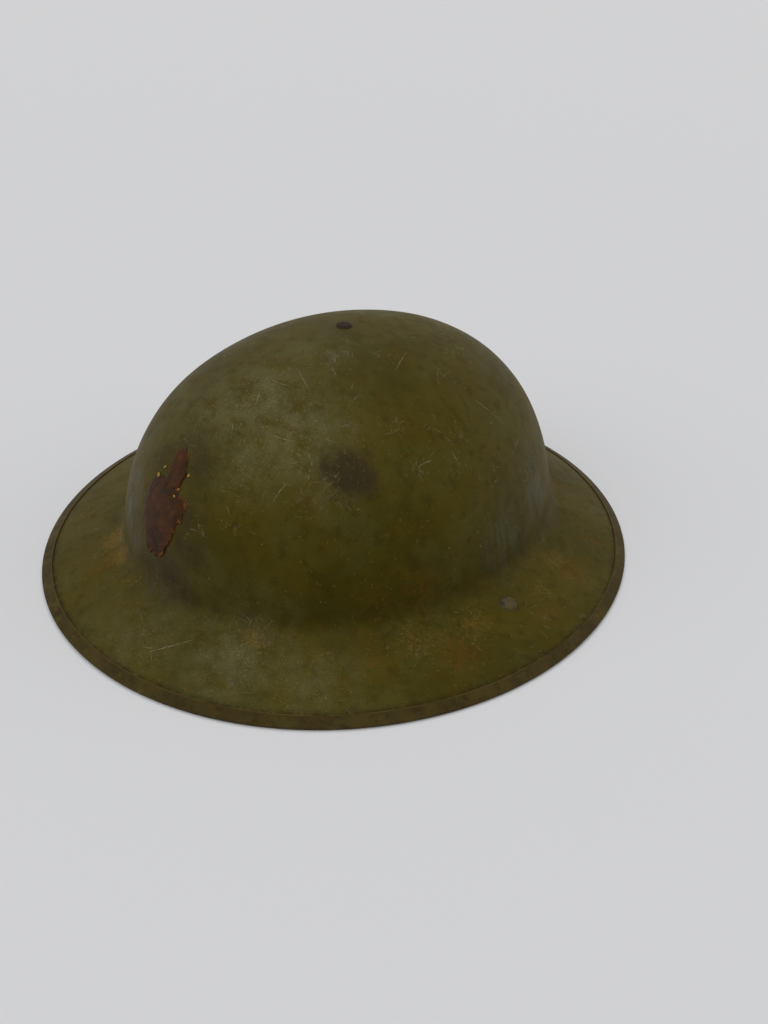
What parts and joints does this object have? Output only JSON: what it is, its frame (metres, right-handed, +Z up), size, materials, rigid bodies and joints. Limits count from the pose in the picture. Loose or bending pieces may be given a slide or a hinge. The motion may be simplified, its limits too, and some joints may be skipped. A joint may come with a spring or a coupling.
{
  "type": "brodie helmet",
  "caption": "Shallow steel bowl helmet with a wide brim, a folded rim band, a net liner with a leather headband, and a leather chin strap on wire bails.",
  "frame": {"origin": "centre of the rim in plan, on the plane the rim rests on", "axes": "-Y to the helmet's front, +Y to its back, +X to the wearer's left, +Z up to the crown"},
  "size_m": [0.293, 0.31, 0.1139],
  "materials": {
    "painted_steel": "satin, worn",
    "painted_band": "satin, worn",
    "painted_rivet": "worn to the metal",
    "bare_steel": "dull, aged",
    "oilcloth": "waxed",
    "headband_leather": "smooth",
    "net_twine": "matte",
    "drawstring_twine": "matte",
    "felt": "matte",
    "tube_rubber": "matte",
    "strap_leather": "smooth",
    "rivet_brass": "dull"
  },
  "bodies": {
    "helmet": {"shell": "painted_steel", "rim_band": "painted_band", "crown_rivet": "painted_rivet", "crown_washer": "bare_steel", "liner_hood": "oilcloth", "headband": "headband_leather", "liner_net": "net_twine", "net_drawstring": "drawstring_twine", "crown_pad": "felt", "buffer_tube_01": "tube_rubber", "buffer_tube_02": "tube_rubber", "buffer_tube_03": "tube_rubber", "buffer_tube_04": "tube_rubber", "buffer_tube_05": "tube_rubber", "buffer_tube_06": "tube_rubber", "buffer_tube_07": "tube_rubber", "buffer_tube_08": "tube_rubber", "buffer_tube_09": "tube_rubber", "buffer_tube_10": "tube_rubber", "buffer_tube_11": "tube_rubber", "buffer_tube_12": "tube_rubber", "bail_rivet_left": "painted_rivet", "bail_rivet_right": "painted_rivet", "bail_bracket_left": "bare_steel", "bail_bracket_right": "bare_steel"},
    "bail_left": {"bail_left": "bare_steel"},
    "strap_left": {"chinstrap_left": "strap_leather", "strap_rivets_left": "rivet_brass"},
    "buckle": {"strap_buckle": "bare_steel"},
    "bail_right": {"bail_right": "bare_steel"},
    "strap_right": {"chinstrap_right": "strap_leather", "strap_rivet_right": "rivet_brass"},
    "keeper": {"strap_keeper": "strap_leather"}
  },
  "joints": [
    {"name": "bail_left_swing", "type": "hinge", "parent": "helmet", "child": "bail_left", "pos_m": [0.1032, 0, 0.01196], "axis": [0, 1, 0], "range_deg": [-95, 0]},
    {"name": "strap_left_swing", "type": "hinge", "parent": "bail_left", "child": "strap_left", "pos_m": [0.08079, 0, 0.00756], "axis": [0, 1, 0], "range_deg": [-120, 0]},
    {"name": "buckle_swing", "type": "hinge", "parent": "strap_left", "child": "buckle", "pos_m": [0.03778, 0, 0.08377], "axis": [0, 1, 0], "range_deg": [-120, 0]},
    {"name": "bail_right_swing", "type": "hinge", "parent": "helmet", "child": "bail_right", "pos_m": [-0.1032, 0, 0.01196], "axis": [0, -1, 0], "range_deg": [-95, 0]},
    {"name": "strap_right_swing", "type": "hinge", "parent": "bail_right", "child": "strap_right", "pos_m": [-0.08079, 0, 0.00756], "axis": [0, -1, 0], "range_deg": [-120, 0]},
    {"name": "keeper_slide", "type": "slide", "parent": "strap_right", "child": "keeper", "axis": [0.1144, 0, 0.9934], "range_m": [-0.008, 0.002]}
  ]
}
